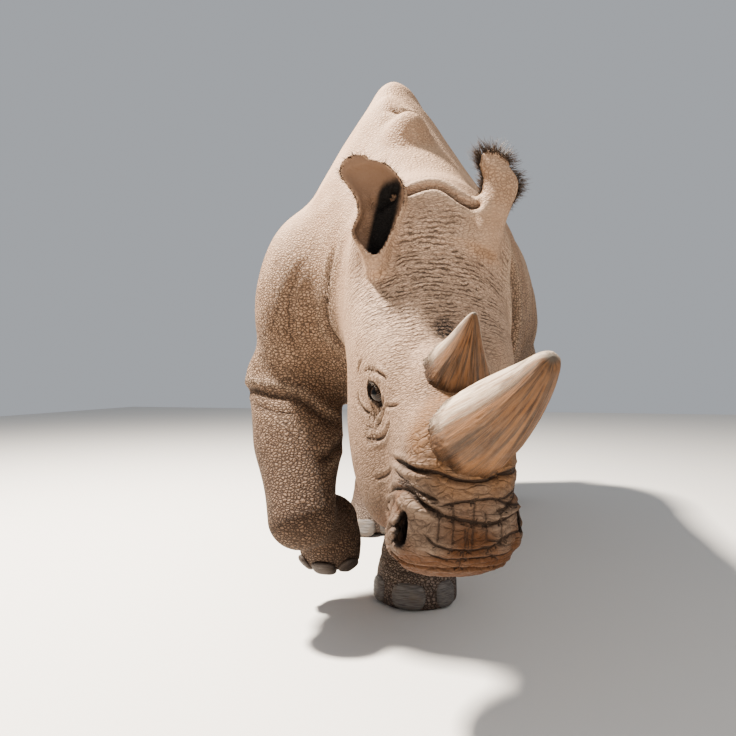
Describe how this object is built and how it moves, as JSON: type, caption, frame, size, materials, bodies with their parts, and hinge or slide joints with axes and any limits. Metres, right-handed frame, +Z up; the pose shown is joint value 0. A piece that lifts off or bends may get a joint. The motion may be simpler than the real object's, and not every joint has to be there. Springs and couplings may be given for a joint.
{
  "type": "white rhinoceros",
  "caption": "Life-size still model of a white rhinoceros, walking with its head lowered and turned a little to its left, one forefoot lifted.",
  "frame": {"origin": "middle of the footprint's box, on the floor under the soles", "axes": "+Z up, the animal faces -Y and its left side is +X"},
  "size_m": [1.0132, 3.2412, 1.6684],
  "materials": {
    "skin": "dry, wrinkled and pebbled",
    "horn": "fibrous, worn smooth towards the tip",
    "nail": "dull, ringed",
    "eye": "wet and glossy",
    "hair": "coarse"
  },
  "bodies": {
    "root": {"head": "skin", "neck": "skin", "trunk": "skin", "tail": "skin", "leg_fore_left": "skin", "leg_fore_right": "skin", "leg_hind_left": "skin", "leg_hind_right": "skin", "ear_left": "skin", "ear_right": "skin", "eye_left": "eye", "eye_right": "eye", "horn_front": "horn", "horn_rear": "horn", "nail_fore_left_inner": "nail", "nail_fore_left_middle": "nail", "nail_fore_left_outer": "nail", "nail_fore_right_inner": "nail", "nail_fore_right_middle": "nail", "nail_fore_right_outer": "nail", "nail_hind_left_inner": "nail", "nail_hind_left_middle": "nail", "nail_hind_left_outer": "nail", "nail_hind_right_inner": "nail", "nail_hind_right_middle": "nail", "nail_hind_right_outer": "nail"}
  },
  "joints": []
}
